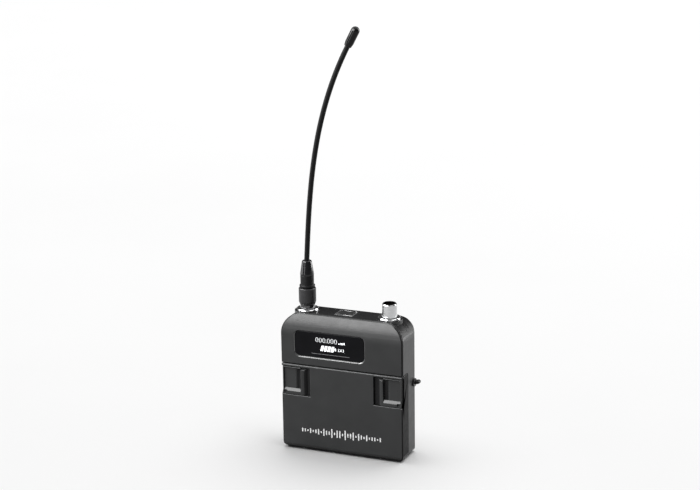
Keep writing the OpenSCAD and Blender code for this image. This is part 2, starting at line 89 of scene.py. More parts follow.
SPRING_X0 = 11.4
SPRING_X1 = 16.88
SPRING_Y = -6.55
SPRING_Z = 39.4
SPRING_R = 0.92
WIRE_R = 0.95
PIVOT_Y = 6.4
PIVOT_Z = 37.4
LATCH_X0 = 17.1
LATCH_Z0 = 28.6
LATCH_Z1 = 43.5
GRIP_X0 = 18.95
GRIP_X1 = 22.25
BUTTON_X = -1.2
BUTTON_BACK_Y = 4.57
BUTTON_FRONT_Y = -2.17
BUTTON_FRAME_Z = CASE_H + 0.25


def mm(x, y, z):
    return Vector((x * MM, y * MM, z * MM))


# ---- camera ------------------------------------------------------------------

def make_camera():
    """Camera at the photograph's viewing angle, placed by where it sees the frame's origin."""
    focal_px, width_px = 2000.0, 700.0
    yaw, pitch, roll = (math.radians(a) for a in (22.81, 15.798, -0.798))
    right_mm, up_mm, depth_mm = -0.247, -102.756, 1010.685
    ahead = Vector((-math.sin(yaw) * math.cos(pitch), math.cos(yaw) * math.cos(pitch), -math.sin(pitch)))
    level = Vector((math.cos(yaw), math.sin(yaw), 0))
    above = level.cross(ahead)
    right = level * math.cos(roll) + above * math.sin(roll)
    up = -level * math.sin(roll) + above * math.cos(roll)
    data = bpy.data.cameras.new("camera")
    data.sensor_width = 36
    data.lens = focal_px / width_px * data.sensor_width
    data.clip_start, data.clip_end = 0.05, 20
    camera = bpy.data.objects.new("camera", data)
    bpy.context.collection.objects.link(camera)
    place = -(right * right_mm + up * up_mm + ahead * depth_mm) * MM
    turn = Matrix((right, up, -ahead)).transposed().to_4x4()
    camera.matrix_world = Matrix.Translation(place) @ turn
    bpy.context.scene.camera = camera


make_camera()

# ---- material building ---------------------------------------------------------


class Paint:
    """A principled material with short calls for the nodes that drive it, in the object's own space."""

    def __init__(self, name, **sockets):
        self.material = bpy.data.materials.new(name)
        self.material.use_nodes = True
        self.tree = self.material.node_tree
        self.shader = self.tree.nodes["Principled BSDF"]
        self.place = self.node("ShaderNodeTexCoord").outputs["Object"]
        for key, value in sockets.items():
            socket = self.shader.inputs[key.replace("_", " ")]
            socket.default_value = (*value, 1) if isinstance(value, tuple) else value

    def node(self, kind, **properties):
        made = self.tree.nodes.new(kind)
        for key, value in properties.items():
            setattr(made, key, value)
        return made

    def put(self, value, socket):
        """Links an output to a socket, or sets a plain value on it."""
        if isinstance(value, bpy.types.NodeSocket):
            self.tree.links.new(value, socket)
        else:
            socket.default_value = value

    def stretched(self, sx, sy, sz):
        mapping = self.node("ShaderNodeMapping")
        mapping.inputs["Scale"].default_value = (sx, sy, sz)
        self.put(self.place, mapping.inputs["Vector"])
        return mapping.outputs["Vector"]

    def noise(self, size_mm, detail=3.0, roughness=0.55, where=None, distortion=0.0):
        made = self.node("ShaderNodeTexNoise")
        made.inputs["Scale"].default_value = 1 / (size_mm * MM)
        made.inputs["Detail"].default_value = detail
        made.inputs["Roughness"].default_value = roughness
        made.inputs["Distortion"].default_value = distortion
        self.put(where or self.place, made.inputs["Vector"])
        return made.outputs["Fac"]

    def cells(self, size_mm):
        made = self.node("ShaderNodeTexVoronoi")
        made.inputs["Scale"].default_value = 1 / (size_mm * MM)
        self.put(self.place, made.inputs["Vector"])
        return made.outputs["Distance"]

    def attribute(self, name):
        return self.node("ShaderNodeAttribute", attribute_name=name).outputs["Fac"]

    def math(self, operation, a, b=0.0):
        made = self.node("ShaderNodeMath", operation=operation)
        self.put(a, made.inputs[0])
        self.put(b, made.inputs[1])
        return made.outputs[0]

    def span(self, value, from_lo, from_hi, to_lo, to_hi):
        """Maps one range of a value onto another, clamped."""
        made = self.node("ShaderNodeMapRange")
        for i, v in enumerate((value, from_lo, from_hi, to_lo, to_hi)):
            self.put(v, made.inputs[i])
        return made.outputs["Result"]

    def blend(self, factor, a, b):
        made = self.node("ShaderNodeMix", data_type="RGBA")
        self.put(factor, made.inputs["Factor"])
        for key, value in (("A", a), ("B", b)):
            sockets = [s for s in made.inputs if s.name == key and s.type == "RGBA"]
            self.put((*value, 1) if isinstance(value, tuple) else value, sockets[0])
        return [s for s in made.outputs if s.type == "RGBA"][0]

    def axis(self, name):
        split = self.node("ShaderNodeSeparateXYZ")
        self.put(self.place, split.inputs[0])
        return split.outputs[name]

    def colour(self, value):
        self.put(value, self.shader.inputs["Base Color"])

    def rough(self, value):
        self.put(value, self.shader.inputs["Roughness"])

    def bump(self, height, depth_mm, strength):
        """Adds relief on top of the bumps given before."""
        made = self.node("ShaderNodeBump")
        made.inputs["Strength"].default_value = strength
        made.inputs["Distance"].default_value = depth_mm * MM
        self.put(height, made.inputs["Height"])
        earlier = self.shader.inputs["Normal"].links
        if earlier:
            self.put(earlier[0].from_socket, made.inputs["Normal"])
        self.put(made.outputs["Normal"], self.shader.inputs["Normal"])


def shade(colour, factor):
    return tuple(c * factor for c in colour)


def satin_paint(name, colour, rough, specular=0.18):
    """Fine powdery paint with faint mottling, and rounded edges lighter and smoother in patches: partly
    paint worn by rubbing, partly a painted highlight.
    """
    p = Paint(name, Specular_IOR_Level=specular)
    mottle = p.noise(14, 4)
    tone = p.blend(p.span(mottle, 0.35, 0.65, 0, 1), shade(colour, 0.93), shade(colour, 1.07))
    speck = p.span(p.noise(0.16, 2), 0.62, 0.74, 0, 0.35)
    tone = p.blend(speck, tone, shade(colour, 1.5))
    # Lighter, smoother patches on rounded edges: partly paint worn by rubbing, partly a painted highlight
    # along the edges.
    edge_wear_and_highlight = p.math("MULTIPLY", p.attribute("wear_and_highlight"), p.span(p.noise(1.3, 4), 0.42, 0.62, 0.15, 0.6))
    p.colour(p.blend(edge_wear_and_highlight, tone, shade(colour, 2.6)))
    base_rough = p.span(p.noise(5, 4), 0.3, 0.7, rough - 0.05, rough + 0.05)
    p.rough(p.math("SUBTRACT", base_rough, p.math("MULTIPLY", edge_wear_and_highlight, 0.12)))
    p.bump(p.noise(0.22, 3, 0.6), 0.012, 0.55)
    p.bump(p.noise(2.4, 2), 0.02, 0.2)
    return p.material


def moulded(name, colour, rough, grain_mm=0.3, depth_mm=0.012, specular=0.45):
    """Injection-moulded plastic with a fine eroded grain."""
    p = Paint(name, Specular_IOR_Level=specular)
    p.colour(p.blend(p.span(p.noise(8, 3), 0.3, 0.7, 0, 1), shade(colour, 0.9), shade(colour, 1.1)))
    p.rough(p.span(p.noise(3, 3), 0.3, 0.7, rough - 0.06, rough + 0.06))
    p.bump(p.cells(grain_mm), depth_mm, 0.5)
    p.bump(p.noise(grain_mm * 4, 3), depth_mm, 0.3)
    return p.material


def rubber(name, colour, rough, specular=0.4):
    """Smooth moulded rubber with a dusty bloom."""
    p = Paint(name, Specular_IOR_Level=specular)
    bloom = p.span(p.noise(4, 5, 0.6), 0.48, 0.72, 0, 0.5)
    p.colour(p.blend(bloom, colour, shade(colour, 1.7)))
    p.rough(p.span(p.noise(1.5, 4), 0.3, 0.7, rough - 0.07, rough + 0.09))
    p.bump(p.noise(0.35, 4), 0.012, 0.45)
    return p.material


def gloss(name, colour, rough, specular):
    """Polished plastic with faint handling marks."""
    p = Paint(name, Specular_IOR_Level=specular)
    p.colour(p.blend(p.span(p.noise(9, 3), 0.4, 0.7, 0, 1), colour, shade(colour, 1.35)))
    smears = p.span(p.noise(6, 5, 0.65, p.stretched(1, 1, 3), 0.8), 0.5, 0.75, 0, 0.1)
    p.rough(p.math("ADD", smears, rough))
    p.bump(p.noise(5, 2), 0.01, 0.12)
    return p.material


def plated(name, colour, rough, turned=0.0, shaded_bore=None):
    """Bright plating with micro scratches.

    turned is the strength of the rings that a lathe leaves. The bore setting is (x, y, radius) in
    millimetres of an upright hole, whose wall and rim are painted near-black: painted shade in the hole
    and a painted dark reflection on the rim.
    """
    p = Paint(name, Metallic=1.0)
    tone = p.blend(p.span(p.noise(3, 4), 0.35, 0.7, 0, 1), colour, shade(colour, 0.86))
    # Painted shade in the hole and a painted dark reflection on its rim: near-black plating inside the
    # given radius.
    if shaded_bore:
        off_x = p.math("SUBTRACT", p.axis("X"), shaded_bore[0] * MM)
        off_y = p.math("SUBTRACT", p.axis("Y"), shaded_bore[1] * MM)
        square = p.math("ADD", p.math("MULTIPLY", off_x, off_x), p.math("MULTIPLY", off_y, off_y))
        tone = p.blend(p.math("LESS_THAN", square, (shaded_bore[2] * MM) ** 2), tone, shade(colour, 0.04))
    p.colour(tone)
    p.rough(p.span(p.noise(1.1, 5, 0.65), 0.35, 0.7, rough, rough + 0.09))
    p.bump(p.noise(0.12, 3, 0.6, p.stretched(1, 1, 4)), 0.004, 0.3)
    if turned:
        rings = p.noise(0.16, 2, 0.5, p.stretched(0.02, 0.02, 1))
        p.bump(rings, 0.012, turned)
    return p.material


def board_finish(name):
    """Solder resist over copper tracks."""
    p = Paint(name, Specular_IOR_Level=0.5)
    tracks = p.node("ShaderNodeTexBrick", offset=0.37, squash=1.6)
    sizes = {"Scale": 1 / (9 * MM), "Mortar Size": 0.035, "Brick Width": 0.7, "Row Height": 0.16}
    for key, value in sizes.items():
        tracks.inputs[key].default_value = value
    turned = p.node("ShaderNodeMapping")
    turned.inputs["Rotation"].default_value = (math.pi / 2, 0, 0)
    p.put(p.place, turned.inputs["Vector"])
    p.put(turned.outputs["Vector"], tracks.inputs["Vector"])
    p.colour(p.blend(tracks.outputs["Fac"], (0.012, 0.075, 0.035), (0.03, 0.14, 0.07)))
    p.rough(p.span(p.noise(1, 3), 0.3, 0.7, 0.25, 0.4))
    p.bump(tracks.outputs["Fac"], 0.03, 0.6)
    return p.material


def cell_finish(name):
    """Printed metal jacket: graphite, and copper at the positive end of the cell's own X."""
    p = Paint(name, Metallic=0.55, Coat_Weight=0.3, Coat_Roughness=0.2)
    along = p.axis("X")
    band = p.math("GREATER_THAN", along, 11.5 * MM)
    stripe_start = p.math("GREATER_THAN", along, 10.2 * MM)
    stripe = p.math("MULTIPLY", stripe_start, p.math("LESS_THAN", along, 10.9 * MM))
    end_cap = p.math("GREATER_THAN", p.math("ABSOLUTE", along), (CELL_L / 2 - 0.9) * MM)
    flecks = p.span(p.noise(0.4, 3), 0.4, 0.7, 0, 1)
    body = p.blend(flecks, (0.028, 0.03, 0.034), (0.04, 0.042, 0.046))
    copper = p.blend(flecks, (0.5, 0.25, 0.1), (0.58, 0.3, 0.13))
    tone = p.blend(band, body, copper)
    tone = p.blend(stripe, tone, (0.5, 0.5, 0.5))
    p.colour(p.blend(end_cap, tone, (0.62, 0.62, 0.6)))
    p.rough(p.span(p.noise(2.5, 4), 0.3, 0.7, 0.26, 0.38))
    p.bump(p.noise(3, 3), 0.02, 0.15)
    return p.material


def display_glow(name, colour, strength):
    """Lit display pixels with a slight unevenness from one to the next."""
    p = Paint(name, Roughness=0.5, Emission_Strength=strength)
    uneven = p.span(p.noise(0.5, 1), 0.3, 0.7, 0, 1)
    lit = p.blend(uneven, shade(colour, 0.8), colour)
    p.colour(lit)
    p.put(lit, p.shader.inputs["Emission Color"])
    return p.material


def printed(name, colour):
    """Pad-printed ink, a little thin in places; the same finish also makes the painted highlights along
    the mute button's edges.
    """
    p = Paint(name, Specular_IOR_Level=0.4)
    p.colour(p.blend(p.span(p.noise(0.5, 4), 0.35, 0.6, 0, 1), shade(colour, 0.75), colour))
    p.rough(p.span(p.noise(1, 2), 0.3, 0.7, 0.4, 0.5))
    return p.material


def floor_finish():
    """Pale matt board."""
    p = Paint("floor_pale", Specular_IOR_Level=0.1)
    p.colour(p.blend(p.span(p.noise(300, 3), 0.3, 0.7, 0, 1), (0.9, 0.9, 0.9), (0.92, 0.92, 0.92)))
    p.rough(p.span(p.noise(40, 3), 0.3, 0.7, 0.85, 0.95))
    return p.material


# Each row holds a maker, the name of its finish, the colour, the roughness and other settings.
RECIPES = (
    (satin_paint, "shell_black", (0.018, 0.0185, 0.019), 0.36, 0.24),
    (satin_paint, "cover_grey", (0.0095, 0.0097, 0.0099), 0.33),
    # Glossier and lighter paint for the chamfer round the display: the higher gloss is real, the lighter
    # colour is a painted highlight.
    (satin_paint, "edge_polish", (0.02, 0.0203, 0.0206), 0.2, 0.8),
    (satin_paint, "door_grey", (0.0095, 0.0097, 0.0099), 0.33),
    (satin_paint, "latch_grey", (0.009, 0.0092, 0.0094), 0.31, 0.22),
    (gloss, "window_gloss", (0.002, 0.002, 0.0023), 0.05, 0.04),
    (moulded, "display_black", (0.02, 0.024, 0.022), 0.4),
    (board_finish, "board_green"),
    (plated, "tin_plate", (0.62, 0.62, 0.6), 0.3),
    (moulded, "switch_black", (0.02, 0.02, 0.021), 0.45),
    (moulded, "tray_black", (0.018, 0.0185, 0.019), 0.5),
    (cell_finish, "cell_jacket"),
    (plated, "spring_plate", (0.72, 0.71, 0.68), 0.22),
    (rubber, "key_rubber", (0.07, 0.072, 0.075), 0.55),
    (satin_paint, "button_grey", (0.008, 0.008, 0.0081), 0.35, 0.1),
    (plated, "chrome", (0.66, 0.665, 0.67), 0.06),
    (plated, "dark_chrome", (0.1, 0.1, 0.102), 0.12),
    # The connector barrel's plating is painted near-black within 3.5 mm of its axis: painted shade in the
    # hole, painted dark reflection on the rim.
    (plated, "satin_chrome", (0.56, 0.565, 0.57), 0.2, 0.2, (PORT_X, PORT_Y, 3.5)),
    (moulded, "nut_black", (0.009, 0.009, 0.0094), 0.34, 0.25, 0.008, 0.2),
    (rubber, "boot_rubber", (0.002, 0.002, 0.0021), 0.42, 0.12),
    (gloss, "boot_gloss", (0.003, 0.003, 0.0033), 0.14, 0.3),
    (moulded, "top_black", (0.004, 0.004, 0.0042), 0.3, 0.3, 0.006, 0.1),
    # Near-black finish that stands for shade: painted shade on rounded edges, at the cover's seam and
    # deep in the latch gaps.
    (moulded, "edge_shadow", (0.004, 0.004, 0.0042), 0.5, 0.3, 0.004, 0.08),
    (rubber, "whip_rubber", (0.002, 0.002, 0.0021), 0.34, 0.1),
    (gloss, "tip_gloss", (0.002, 0.002, 0.0021), 0.14, 0.16),
    (moulded, "insulator_black", (0.008, 0.008, 0.008), 0.5),
    (plated, "contact_gold", (0.83, 0.6, 0.26), 0.15),
    (plated, "steel_pin", (0.6, 0.6, 0.6), 0.2),
    (satin_paint, "clip_wire", (0.005, 0.005, 0.0052), 0.35, 0.15),
    (moulded, "bush_black", (0.014, 0.014, 0.015), 0.3),
    (plated, "screw_black", (0.07, 0.07, 0.072), 0.32),
)
FINISHES = {name: make(name, *settings) for make, name, *settings in RECIPES}
SLOT_OF = {s["node"]: s["material_slot"] for s in frame["record"]["subparts"]}
DARKER = {"antenna_jack": "dark_chrome"}


def finish_cad_nodes():
    """Gives each CAD node the finish of its slot, or a darker one of its own."""
    for node, obj in frame["nodes"].items():
        finish = FINISHES[DARKER.get(node, SLOT_OF[node])]
        if not obj.material_slots:
            obj.data.materials.append(finish)
        for slot in obj.material_slots:
            slot.material = finish


finish_cad_nodes()

# ---- mesh helpers ---------------------------------------------------------------


def add_piece(mesh, body, finish, nodes=(), place=None):
    """Links a mesh, under its own name, as a piece that rides on a body and stands for CAD nodes.

    finish is the name of a finish, or a material of its own, which then needs the slot that it takes.
    """
    obj = bpy.data.objects.new(mesh.name, mesh)
    bpy.context.collection.objects.link(obj)
    mesh.materials.append(FINISHES.get(finish) or finish)
    for face in mesh.polygons:
        face.use_smooth = True
    if place:
        obj.matrix_world = place
    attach(obj, body)
    if nodes:
        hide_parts(*nodes)
    return obj


def to_mesh(bm, name, sharp_deg=30):
    """Turns a bmesh into a mesh, with edges marked sharp above an angle."""
    mesh = bpy.data.meshes.new(name)
    bm.normal_update()
    bm.to_mesh(mesh)
    bm.free()
    mesh.set_sharp_from_angle(angle=math.radians(sharp_deg))
    return mesh


def outline_distance(x, z):
    """Signed distance in millimetres from the case's outline seen from the front; negative inside."""
    r = TOP_CORNER_R if z > CASE_H / 2 else BOTTOM_CORNER_R
    qx = abs(x) - (SIDE_X - r)
    qz = abs(z - CASE_H / 2) - (CASE_H / 2 - r)
    return math.hypot(max(qx, 0), max(qz, 0)) + min(max(qx, qz), 0) - r


def even_shading(mesh):
    """Leans corner normals to the largest faces nearby, so that flats stay flat up to an edge."""
    around = [[] for _ in mesh.vertices]
    for face in mesh.polygons:
        for v in face.vertices:
            around[v].append(face)
    limit = math.cos(math.radians(25))
    normals = []
    for face in mesh.polygons:
        for v in face.vertices:
            near = [f.normal * f.area for f in around[v] if f.normal.dot(face.normal) > limit]
            total = sum(near, Vector())
            normals.append(total.normalized() if total.length > 0 else face.normal.copy())
    mesh.normals_split_custom_set(normals)


def rounded_copy(node, name, body, passes, in_shadow=None, shade_and_top_finish="edge_shadow", polished=None):
    """Adds a copy of a CAD node with its sharp edges rounded, and its rounded faces marked to take a
    lighter, smoother edge tone: partly paint worn by rubbing, partly a painted highlight.

    Each pass is (radius in mm, segments, test of an edge). A fourth value, where a pass has one, tests
    which of its new faces take the second finish, edge_shadow unless another is named: a painted shade.
    in_shadow tests that for all faces, for painted shade deep in gaps or for the black top of the case.
    The last test picks faces for a glossier finish whose lighter colour is a painted highlight.
    """
    flat, sharp = math.radians(0.6), math.radians(35)
    bm = bmesh.new()
    bm.from_mesh(frame["nodes"][node].data)
    bmesh.ops.remove_doubles(bm, verts=bm.verts, dist=0.002 * MM)
    bmesh.ops.dissolve_limit(bm, angle_limit=flat, verts=bm.verts, edges=bm.edges)
    wear_and_highlight = bm.loops.layers.float.new("wear_and_highlight")
    for radius, segments, test, *dark in passes:
        bm.normal_update()
        edges = [e for e in bm.edges
                 if len(e.link_faces) == 2 and e.is_convex and e.calc_face_angle() > sharp and test(e)]
        made = bmesh.ops.bevel(bm, geom=edges, offset=radius * MM, offset_type="OFFSET",
                               segments=segments, profile=0.5, affect="EDGES", clamp_overlap=False,
                               loop_slide=True)
        # New rounded faces: those that the fourth test picks take painted shade, and all are marked for
        # the lighter edge tone, partly a painted highlight.
        for face in made["faces"]:
            if dark and dark[0](face):
                face.material_index = 1
            for loop in face.loops:
                loop[wear_and_highlight] = 1.0
    bmesh.ops.remove_doubles(bm, verts=bm.verts, dist=0.004 * MM)
    bmesh.ops.dissolve_degenerate(bm, edges=bm.edges, dist=0.003 * MM)
    # Painted shade deep in gaps, or the black top, through in_shadow; a painted highlight on the faces of
    # the last test.
    for face in bm.faces:
        if in_shadow and in_shadow(face):
            face.material_index = 1
        if polished and polished(face):
            face.material_index = 2
    bmesh.ops.triangulate(bm, faces=[f for f in bm.faces if len(f.verts) > 4])
    obj = add_piece(to_mesh(bm, name), body, SLOT_OF[node], (node,))
    if any(face.material_index for face in obj.data.polygons):
        obj.data.materials.append(FINISHES[shade_and_top_finish])
    if polished:
        obj.data.materials.append(FINISHES["edge_polish"])
    even_shading(obj.data)


def middle_mm(edge):
    return (edge.verts[0].co + edge.verts[1].co) / 2 / MM


def faces_front(edge):
    return any(f.normal.y < -0.5 for f in edge.link_faces)


def on_outline(edge):
    return all(outline_distance(v.co.x / MM, v.co.z / MM) > -0.06 for v in edge.verts)


def bend(before, corner, after, radius, steps):
    """Arc that rounds the corner between two straight runs, in two or three dimensions."""
    p, q, n = Vector(before), Vector(corner), Vector(after)
    a, b = (p - q).normalized(), (n - q).normalized()
    half = a.angle(b) / 2
    turn = math.pi - 2 * half
    centre = q + (a + b).normalized() * radius / math.sin(half)
    start, end = q + a * radius / math.tan(half) - centre, q + b * radius / math.tan(half) - centre
    return [tuple(centre + (math.sin(turn * (1 - t)) * start + math.sin(turn * t) * end) / math.sin(turn))
            for t in (k / steps for k in range(steps + 1))]


def fillet(points, radii):
    """Rounds the corners of an open outline of (r, z) points; radii has one value per point."""
    out = []
    last = len(points) - 1
    for i, (point, radius) in enumerate(zip(points, radii)):
        if radius <= 0 or i in (0, last):
            out.append(point)
        else:
            out += bend(points[i - 1], point, points[i + 1], radius, 5)
    return out


def lathe(name, outline, base=Matrix.Identity(4), sides=96):
    """Mesh turned from an (r, z) outline in millimetres; points at r = 0 close it."""
    bm = bmesh.new()
    rings = []
    for r, z in outline:
        if r < 1e-6:
            rings.append([bm.verts.new(base @ mm(0, 0, z))])
            continue
        angles = [2 * math.pi * k / sides for k in range(sides)]
        rings.append([bm.verts.new(base @ mm(r * math.cos(a), r * math.sin(a), z)) for a in angles])
    for low, high in zip(rings, rings[1:]):
        for k in range(sides):
            k2 = (k + 1) % sides
            corners = [low[k % len(low)], low[k2 % len(low)], high[k2 % len(high)], high[k % len(high)]]
            unique = list(dict.fromkeys(corners))
            if len(unique) > 2:
                bm.faces.new(unique)
    if len(rings[0]) > 1 and outline[0] == outline[-1]:
        bmesh.ops.remove_doubles(bm, verts=bm.verts, dist=1e-7)
    bmesh.ops.recalc_face_normals(bm, faces=bm.faces)
    return to_mesh(bm, name, 40)


def at(x, y, z):
    return Matrix.Translation(mm(x, y, z))


def tube(name, points, radius, sides, round_ends=True):
    """Mesh swept along points in millimetres with an even round section and domed ends."""
    path = [mm(*p) for p in points]
    last = len(path) - 1
    along = [(path[min(i + 1, last)] - path[max(i - 1, 0)]).normalized() for i in range(len(path))]
    u = along[0].orthogonal().normalized()
    bm = bmesh.new()
    rings = []

    def ring(centre, direction, r):
        nonlocal u
        u = (u - direction * u.dot(direction)).normalized()
        v = direction.cross(u)
        angles = [2 * math.pi * k / sides for k in range(sides)]
        return [bm.verts.new(centre + (u * math.cos(a) + v * math.sin(a)) * r * MM) for a in angles]

    dome = [math.radians(a) for a in (75, 50, 25)] if round_ends else []
    for a in dome:
        centre = path[0] + along[0] * radius * MM * (1 - math.sin(a))
        rings.append(ring(centre, along[0], radius * math.cos(a)))
    inner = range(len(path))
    if round_ends:
        inner = [i for i in inner if (path[i] - path[0]).length > radius * MM
                 and (path[i] - path[-1]).length > radius * MM]
    for i in inner:
        rings.append(ring(path[i], along[i], radius))
    for a in reversed(dome):
        centre = path[-1] - along[-1] * radius * MM * (1 - math.sin(a))
        rings.append(ring(centre, along[-1], radius * math.cos(a)))
    for low, high in zip(rings, rings[1:]):
        for k in range(sides):
            k2 = (k + 1) % sides
            bm.faces.new((low[k], low[k2], high[k2], high[k]))
    bm.faces.new(reversed(rings[0]))
    bm.faces.new(rings[-1])
    bmesh.ops.recalc_face_normals(bm, faces=bm.faces)
    return to_mesh(bm, name, 40)


def plates_mesh(name, outlines, y_front):
    """Mesh of closed thin plates, from outlines in the X-Z plane."""
    depth_mm = 0.03
    bm = bmesh.new()
    for outline in outlines:
        front = [bm.verts.new(mm(x, y_front, z)) for x, z in outline]
        back = [bm.verts.new(mm(x, y_front + depth_mm, z)) for x, z in outline]
        bm.faces.new(front)
        bm.faces.new(reversed(back))
        count = len(front)
        for k in range(count):
            k2 = (k + 1) % count
            bm.faces.new((front[k], back[k], back[k2], front[k2]))
    bmesh.ops.recalc_face_normals(bm, faces=bm.faces)
    return to_mesh(bm, name)


def rounded_box(cx, cz, w, h, r, steps=4):
    """Outline of a rectangle with rounded corners."""
    out = []
    for sx, sz, start in ((1, 1, 0), (-1, 1, 90), (-1, -1, 180), (1, -1, 270)):
        for k in range(steps + 1):
            a = math.radians(start + 90 * k / steps)
            out.append((cx + sx * (w / 2 - r) + r * math.cos(a), cz + sz * (h / 2 - r) + r * math.sin(a)))
    return out


# ---- case, cover, door and latches ------------------------------------------------

def at_side(face):
    """Whether a face lies on the case's left or right edge or on its top corners, where rounded faces
    take painted shade.
    """
    return abs(face.calc_center_median().x) > (SIDE_X - 5) * MM


def round_window(face):
    """Whether a face is on the chamfer round the display, which takes a glossier finish whose lighter
    colour is a painted highlight.
    """
    x, y, z = face.calc_center_median() / MM
    near = abs(x - WINDOW_X) < WINDOW_W / 2 + 0.1 and abs(z - WINDOW_Z) < WINDOW_H / 2 + 0.1
    return near and 0.05 < y - FRONT_Y < 0.6 and -0.85 < face.normal.y < -0.5


def on_top(face):
    """Whether a face is on the black end of the case that carries the ports."""
    return face.normal.z > 0.3 and face.calc_center_median().z > (CASE_H - TOP_CORNER_R) * MM


def at_seam(face):
    """Whether a face is on the cover's lower edge, over the parting line to the door, where rounded faces
    take painted shade.
    """
    return face.calc_center_median().z < (SEAM_Z + 1) * MM


def near_back(edge):
    return middle_mm(edge).y > BACK_Y - 2.2


def inner_front(edge):
    """Whether an edge is at the level of the front, away from the case's outline."""
    return faces_front(edge) and not on_outline(edge) and middle_mm(edge).y < FRONT_Y + 0.1


def make_case():
    rounded_copy("rear_shell", "rear_shell_paint", "case",
                 [(0.25, 4, lambda e: on_outline(e) and not near_back(e))], on_top, "top_black")
    # The cover's rounded left and right edges and its rounded lower edge at the seam take the near-black
    # finish as painted shade; the chamfer round the display takes a painted highlight.
    rounded_copy("front_cover", "front_cover_paint", "case",
                 [(0.57, 5, lambda e: faces_front(e) and on_outline(e), at_side),
                  (0.3, 4, inner_front, at_seam)],
                 polished=round_window)


def in_latch_opening(edge):
    x, _, z = middle_mm(edge)
    return abs(x) > LATCH_X0 - 0.1 and LATCH_Z0 - 0.1 < z < LATCH_Z1 + 0.1


def deep_in_gap(face):
    """Whether a face is on the walls or the floor of the gap round a latch, which take painted shade."""
    x, y, z = face.calc_center_median() / MM
    depth = y - FRONT_Y
    inside = min(abs(x) - LATCH_X0, SIDE_X - abs(x), z - LATCH_Z0, LATCH_Z1 - z)
    at_wall = -0.1 < inside < 0.65 and depth > 0.4
    at_floor = inside > -1 and depth > 1.3 and face.normal.y < -0.9
    return at_wall or at_floor


def on_door_rim(edge):
    return on_outline(edge) and not in_latch_opening(edge)


def below_seam(edge):
    return middle_mm(edge).z < SEAM_Z - 0.3


def make_door():
    # The door's rounded left and right edges and the walls and floor of the latch gaps take painted
    # shade; its rounded top edge is lighter, partly a painted highlight.
    rounded_copy("battery_door", "battery_door_paint", "door",
                 [(0.57, 5, lambda e: faces_front(e) and on_door_rim(e), at_side),
                  (0.42, 5, lambda e: faces_front(e) and not below_seam(e)),
                  (0.3, 4, lambda e: inner_front(e) and below_seam(e)),
                  (0.2, 4, lambda e: on_door_rim(e) and not faces_front(e))],
                 deep_in_gap)


def on_ridge(edge):
    """Whether an edge runs down the long side of a latch's ridge."""
    x, y, _ = middle_mm(edge)
    return GRIP_X0 - 0.1 < abs(x) < GRIP_X1 + 0.1 and y < FRONT_Y + 1.2 and edge.calc_length() > 6 * MM


def by_gap(face):
    """Whether a face of a latch is on the low side of its ridge, or deep in the gap, where it takes
    painted shade.
    """
    x, y, _ = face.calc_center_median() / MM
    return deep_in_gap(face) or (abs(x) < GRIP_X0 + 1.4 and y > FRONT_Y + 0.4)


def make_latches():
    for side in ("left", "right"):
        node = "latch_" + side
        # The low side of each ridge and the faces deep in the gap take painted shade.
        rounded_copy(node, node + "_moulding", node,
                     [(0.4, 5, on_ridge),
                      (0.16, 4, lambda e: middle_mm(e).y < FRONT_Y + 1.0 and e.calc_length() > 1.1 * MM)],
                     by_gap)


# ---- display ------------------------------------------------------------------------

ZERO = ("0110", "1001", "1001", "1001", "1001", "1001", "0110")


def display_plates():
    """Outlines of the lit figures: six noughts and a point, and a level row."""
    out = []
    pixel, row_pitch, column = 0.25, 0.34, 0.38
    left, top, digit_pitch = -13.6, 60.1, 1.9
    low = top - 6 * row_pitch
    for n in range(6):
        x0 = left + n * digit_pitch + (0.55 if n > 2 else 0)
        for row, line in enumerate(ZERO):
            for col, bit in enumerate(line):
                if bit == "1":
                    x, z = x0 + col * column, top - row * row_pitch
                    out.append(rounded_box(x, z, pixel, 0.27, 0.06, 1))
    out.append(rounded_box(left + 3 * digit_pitch - 0.12, low, 0.3, 0.3, 0.08, 1))
    for n in range(5):
        height = 0.55 + 0.16 * n
        out.append(rounded_box(-1.3 + n * 0.75, low - 0.15 + height / 2, 0.42, height, 0.06, 1))
    return out


def battery_plates():
    """Outlines of the battery's four charge bars and nose, and of a small crossed sign with side bars."""
    out = []
    low, high, lean = 53.5, 56.3, 0.7
    for n in range(4):
        x0 = -11.2 + n * 1.85
        out.append([(x0, low), (x0 + 1.4, low), (x0 + 1.4 + lean, high), (x0 + lean, high)])
    out.append(rounded_box(-3.15, (low + high) / 2, 0.7, 1.4, 0.15, 2))
    cx, cz, arm, half = -0.1, (low + high) / 2 - 0.1, 1.0, 0.13
    for angle in (45, 135, 225, 315):
        c, s = math.cos(math.radians(angle)), math.sin(math.radians(angle))
        near = half * 1.1
        out.append([(cx + c * near - s * half, cz + s * near + c * half),
                    (cx + c * near + s * half, cz + s * near - c * half),
                    (cx + c * arm + s * half, cz + s * arm - c * half),
                    (cx + c * arm - s * half, cz + s * arm + c * half)])
    for side in (-1, 1):
        out.append(rounded_box(cx + side * 1.35, cz, 0.24, 1.5, 0.06, 1))
    return out


def make_display():
    lit = display_glow("display_figures", (0.55, 0.56, 0.57), 0.35)
    dim = display_glow("display_edge", (0.05, 0.05, 0.052), 0.1)
    line = [(-16, 51.65), (4.5, 51.65), (4.5, 51.9), (-16, 51.9)]
    for name, outlines, glow in (("display_figures", display_plates(), lit),
                                 ("display_battery", battery_plates(), lit),
                                 ("display_edge", [line], dim)):
        add_piece(plates_mesh(name, outlines, LENS_Y - 0.02), "case", glow)
    rounded_copy("display_window", "display_lens", "case", [(0.3, 4, faces_front)])


# ---- printed mark -------------------------------------------------------------------

MARK_X = -0.5
MARK_Z = 10.6
MARK_BARS = 30
MARK_PITCH = 1.45


